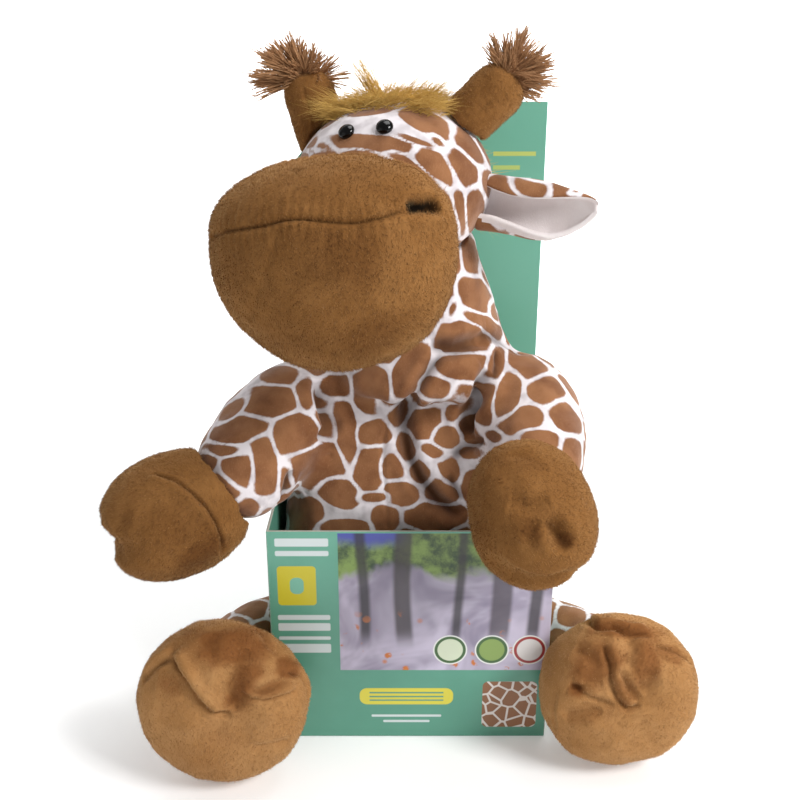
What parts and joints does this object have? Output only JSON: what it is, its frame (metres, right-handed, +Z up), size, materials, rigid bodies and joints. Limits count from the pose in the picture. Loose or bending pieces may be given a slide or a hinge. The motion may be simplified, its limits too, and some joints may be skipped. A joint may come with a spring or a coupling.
{
  "type": "toddler harness backpack in a display box",
  "caption": "Plush giraffe backpack with a zipped pouch and a webbing harness, sitting in an open-fronted card display box with a tall back panel.",
  "frame": {"origin": "centre of the display box's underside, on the surface that it stands on", "axes": "+Z up, -Y out of the box's printed front, +X to the right of a viewer who faces the front"},
  "size_m": [0.2914, 0.179, 0.3473],
  "materials": {
    "card": "printed, satin",
    "giraffe_plush": "short pile, brown patches on white",
    "brown_plush": "short pile",
    "white_plush": "short pile",
    "golden_pile": "long pile",
    "tuft_pile": "curly long pile",
    "eye": "gloss",
    "webbing": "woven",
    "buckle": "satin"
  },
  "bodies": {
    "root": {"display_box": "card", "torso": "giraffe_plush", "neck": "giraffe_plush", "head": "giraffe_plush", "muzzle": "brown_plush", "mane": "golden_pile", "zipper": "webbing", "zip_pull": "buckle", "chest_buckle": "buckle", "arm_right": "giraffe_plush", "hoof_right": "brown_plush", "leg_right": "giraffe_plush", "foot_right": "brown_plush", "eye_right": "eye", "ear_right": "giraffe_plush", "ear_lining_right": "white_plush", "horn_right": "brown_plush", "tuft_right": "tuft_pile", "shoulder_strap_right": "webbing", "chest_strap_right": "webbing", "arm_left": "giraffe_plush", "hoof_left": "brown_plush", "leg_left": "giraffe_plush", "foot_left": "brown_plush", "eye_left": "eye", "ear_left": "giraffe_plush", "ear_lining_left": "white_plush", "horn_left": "brown_plush", "tuft_left": "tuft_pile", "shoulder_strap_left": "webbing", "chest_strap_left": "webbing"}
  },
  "joints": []
}
